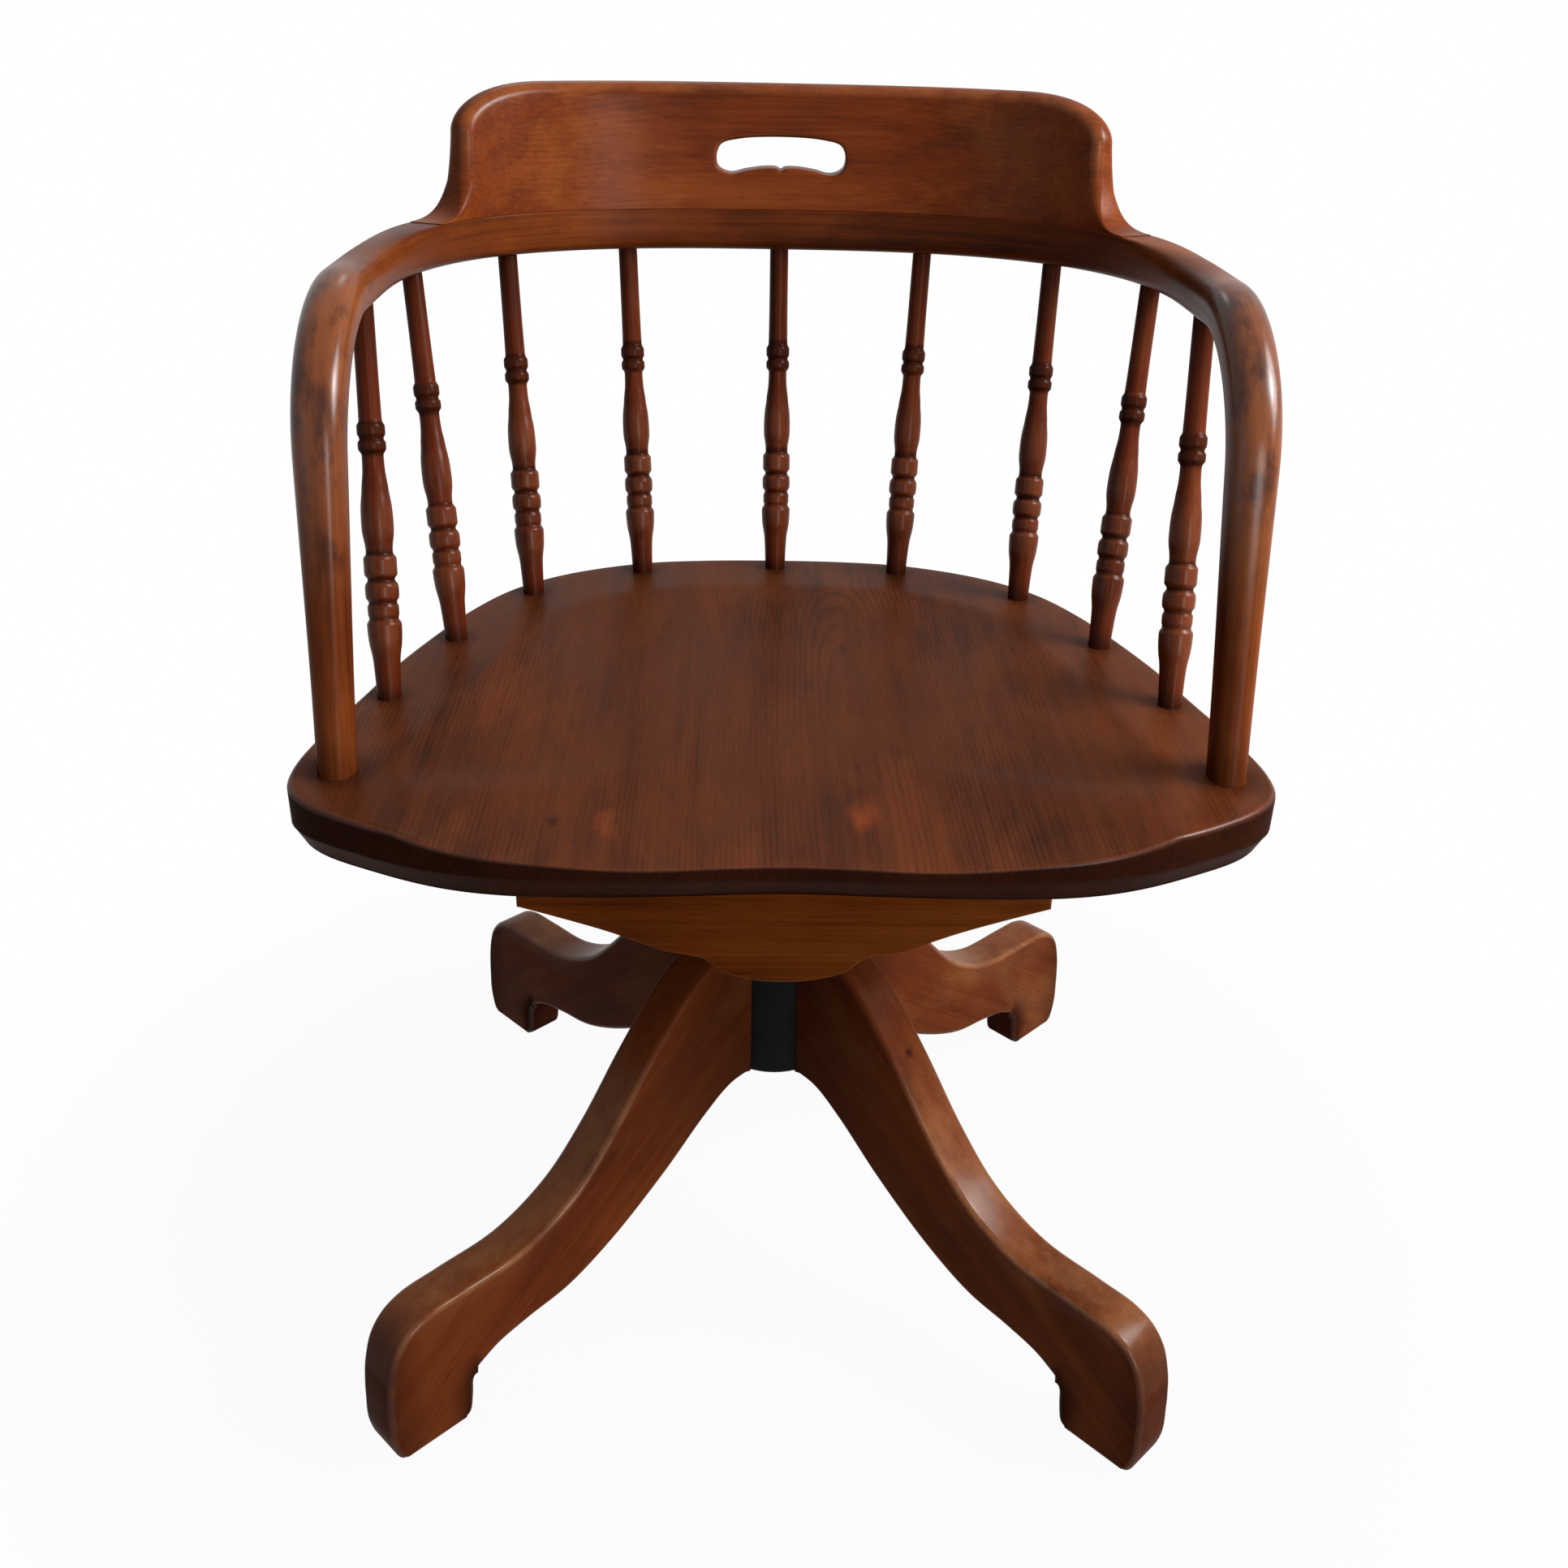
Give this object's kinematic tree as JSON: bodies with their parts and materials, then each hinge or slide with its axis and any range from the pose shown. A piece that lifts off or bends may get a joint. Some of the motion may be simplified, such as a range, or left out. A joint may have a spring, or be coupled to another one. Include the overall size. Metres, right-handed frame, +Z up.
{
  "type": "wooden swivel desk armchair",
  "caption": "Wooden office armchair with a bent bow back, turned spindles and a hand-hole crest, on a four-legged base with an iron hub and a height screw that the seat swivels on",
  "frame": {"origin": "on the floor, under the middle of the chair's outline seen from above", "axes": "+Z up, +Y from the chair's front to its back, +X to the sitter's left, which is the viewer's right in the picture"},
  "size_m": [0.5794, 0.555, 0.792],
  "materials": {
    "seat_wood": "dark red-brown varnished hardwood, satin and worn",
    "bow_wood": "red-brown varnished bent hardwood, glossy with darker worn patches",
    "crest_wood": "red-brown varnished hardwood, glossy, grain along its length",
    "spindle_wood": "red-brown varnished turned hardwood",
    "leg_wood": "red-brown varnished hardwood, worn lighter on its upper edges",
    "bearer_wood": "orange-brown varnished hardwood, satin",
    "dowel_wood": "bare beech",
    "black_iron": "black enamelled cast iron, semi-gloss",
    "worn_steel": "turned steel, dulled",
    "brass_metal": "plain bearing brass, dulled"
  },
  "bodies": {
    "base": {"hub_casting": "black_iron", "upper_bush": "brass_metal", "lower_guide": "black_iron", "key_screw": "worn_steel", "wheel_washer": "brass_metal", "leg_rear_right": "leg_wood", "leg_rear_left": "leg_wood", "leg_front_left": "leg_wood", "leg_front_right": "leg_wood", "leg_bolt_rear_right_lower": "worn_steel", "leg_bolt_rear_right_upper": "worn_steel", "leg_bolt_rear_left_lower": "worn_steel", "leg_bolt_rear_left_upper": "worn_steel", "leg_bolt_front_left_lower": "worn_steel", "leg_bolt_front_left_upper": "worn_steel", "leg_bolt_front_right_lower": "worn_steel", "leg_bolt_front_right_upper": "worn_steel"},
    "wheel": {"hand_wheel": "black_iron"},
    "screw": {"lift_screw": "worn_steel", "thrust_bearing": "brass_metal", "pin_washer": "worn_steel", "pin_nut": "worn_steel"},
    "seat_frame": {"seat_plate": "black_iron", "plate_screw_left_front": "worn_steel", "plate_screw_left_rear": "worn_steel", "plate_screw_right_front": "worn_steel", "plate_screw_right_rear": "worn_steel", "front_bearer": "bearer_wood", "rear_bearer": "bearer_wood", "side_bearer_left": "bearer_wood", "side_bearer_right": "bearer_wood", "front_bearer_screw_left": "worn_steel", "front_bearer_screw_right": "worn_steel", "rear_bearer_screw_left": "worn_steel", "rear_bearer_screw_right": "worn_steel", "side_bearer_screw_left_front": "worn_steel", "side_bearer_screw_left_rear": "worn_steel", "side_bearer_screw_right_front": "worn_steel", "side_bearer_screw_right_rear": "worn_steel", "seat": "seat_wood", "spindle_1": "spindle_wood", "spindle_2": "spindle_wood", "spindle_3": "spindle_wood", "spindle_4": "spindle_wood", "spindle_5": "spindle_wood", "spindle_6": "spindle_wood", "spindle_7": "spindle_wood", "spindle_8": "spindle_wood", "spindle_9": "spindle_wood", "arm_bow": "bow_wood", "crest_rail": "crest_wood", "crest_dowel_1": "dowel_wood", "crest_dowel_2": "dowel_wood", "crest_dowel_3": "dowel_wood", "crest_dowel_4": "dowel_wood"}
  },
  "joints": [
    {"name": "wheel_turn", "type": "hinge", "parent": "base", "child": "wheel", "pos_m": [0, -0.01001, 0.2966], "axis": [0, 0, 1], "range_deg": [-3375, 0]},
    {"name": "seat_height", "type": "slide", "parent": "base", "child": "screw", "axis": [0, 0, 1], "range_m": [0, 0.075]},
    {"name": "seat_swivel", "type": "hinge", "parent": "screw", "child": "seat_frame", "pos_m": [0, -0.01001, 0.33], "axis": [0, 0, 1], "continuous": true}
  ],
  "couplings": [
    {"joint": "wheel_turn", "follows": "seat_height", "rad_per_m": -785.39}
  ]
}
